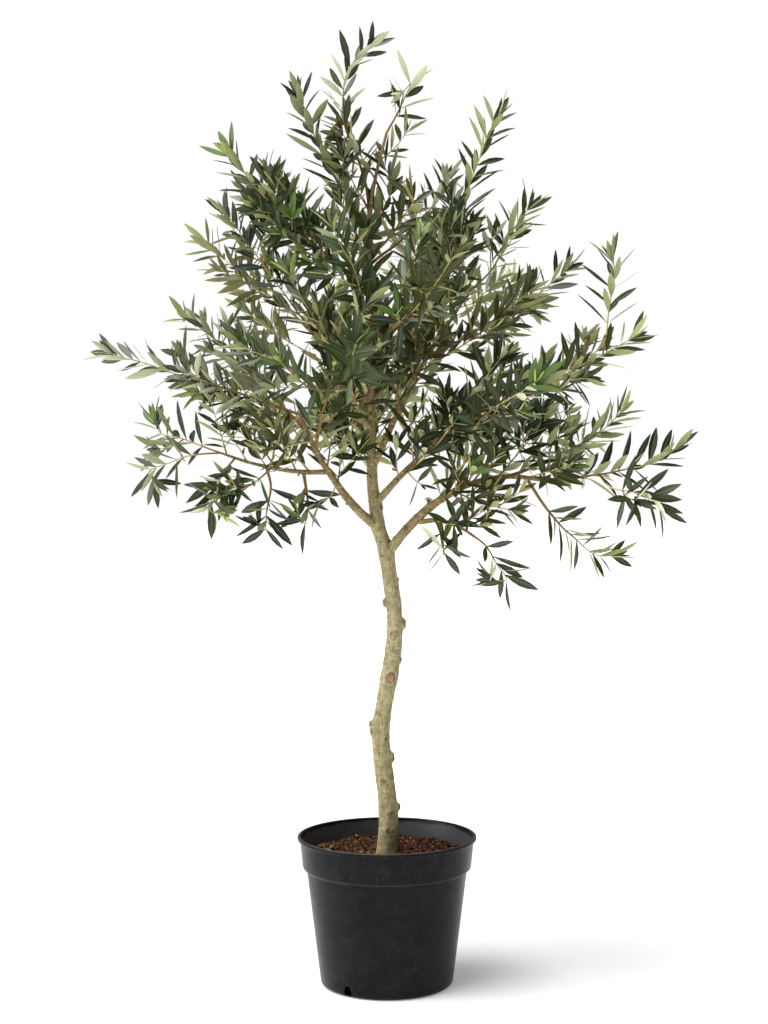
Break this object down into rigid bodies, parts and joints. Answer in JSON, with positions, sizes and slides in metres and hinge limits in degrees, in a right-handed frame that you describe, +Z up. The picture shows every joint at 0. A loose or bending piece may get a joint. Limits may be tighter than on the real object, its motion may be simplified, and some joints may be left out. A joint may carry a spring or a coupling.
{
  "type": "potted olive tree",
  "caption": "Young olive tree with a slim winding stem and an open, airy crown of narrow grey-green leaves, growing in a round black nursery pot of bark compost.",
  "frame": {"origin": "centre of the pot's flat underside", "axes": "+Z up the stem, -Y out of the front of the tree, +X to its right"},
  "size_m": [0.932, 0.784, 1.507],
  "materials": {
    "pot": "injection-moulded polypropylene, near-black satin, lightly scuffed and dusty",
    "soil": "moist bark and coir compost, crumbly and matt, with a few pale specks",
    "bark": "smooth young olive bark, grey-green to beige, matt, with pruning scars",
    "leaves": "narrow leathery leaves, dark grey-green and satin above, silvery below, yellow-green at the shoot tips"
  },
  "bodies": {
    "root": {"pot": "pot", "soil": "soil", "trunk": "bark", "bough_left_low": "bark", "bough_left_reach": "bark", "bough_right_low": "bark", "bough_right_droop": "bark", "bough_right_mid": "bark", "bough_right_high": "bark", "bough_left_high": "bark", "bough_back_low": "bark", "bough_back_left": "bark", "bough_back_right": "bark", "bough_front_low": "bark", "bough_front_high": "bark", "leaves_left_reach": "leaves", "leaves_left_rise": "leaves", "leaves_left_high": "leaves", "leaves_left_crown": "leaves", "leaves_top_left": "leaves", "leaves_top": "leaves", "leaves_leader": "leaves", "leaves_right_crown": "leaves", "leaves_right_top": "leaves", "leaves_front_top": "leaves", "leaves_right_high": "leaves", "leaves_right_rise": "leaves", "leaves_right_reach": "leaves", "leaves_right_upright": "leaves", "leaves_right_low_rise": "leaves", "leaves_right_low_reach": "leaves", "leaves_right_low_fork": "leaves", "leaves_right_hanging": "leaves", "leaves_right_droop": "leaves", "leaves_right_droop_small": "leaves", "leaves_left_low": "leaves", "leaves_left_low_inner": "leaves", "leaves_left_low_outer": "leaves", "leaves_left_low_reach": "leaves", "leaves_left_low_rise": "leaves", "leaves_front_left_rise": "leaves", "leaves_front_right_rise": "leaves", "leaves_front_crown": "leaves", "leaves_front_low": "leaves", "leaves_front_left": "leaves", "leaves_front_right": "leaves", "leaves_front_mid": "leaves", "leaves_front_high": "leaves", "leaves_back_low": "leaves", "leaves_back_low_left": "leaves", "leaves_back_low_right": "leaves", "leaves_back_left": "leaves", "leaves_back_mid": "leaves", "leaves_back_right": "leaves", "leaves_back_high": "leaves", "leaves_back_top": "leaves", "leaves_inner_left": "leaves", "leaves_inner_low": "leaves", "leaves_inner_high": "leaves", "leaves_inner_right": "leaves"}
  },
  "joints": []
}
